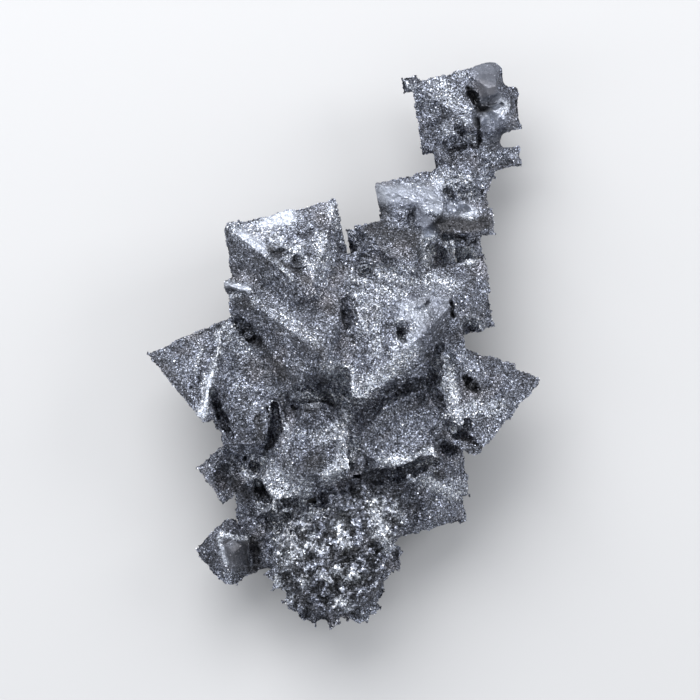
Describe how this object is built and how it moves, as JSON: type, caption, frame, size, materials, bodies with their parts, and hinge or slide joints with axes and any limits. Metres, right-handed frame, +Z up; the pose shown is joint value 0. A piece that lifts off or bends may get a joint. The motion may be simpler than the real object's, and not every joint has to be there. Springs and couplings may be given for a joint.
{
  "type": "hematite pseudomorph",
  "caption": "Cluster of intergrown octahedral hematite crystals with stepped, pitted faces, a narrow arm and a rounded granular root, lying on its flat broken back.",
  "frame": {"origin": "centre of the bounding box in plan, on the surface that the specimen lies on", "axes": "+Y from the granular root to the tip of the narrow arm, +X to the right seen from above, +Z up, towards the viewer of the displayed side"},
  "size_m": [0.0586, 0.0846, 0.0272],
  "materials": {
    "hematite": "steel-grey, submetallic, finely granular and glittering"
  },
  "bodies": {
    "root": {"hematite_cluster": "hematite"}
  },
  "joints": []
}
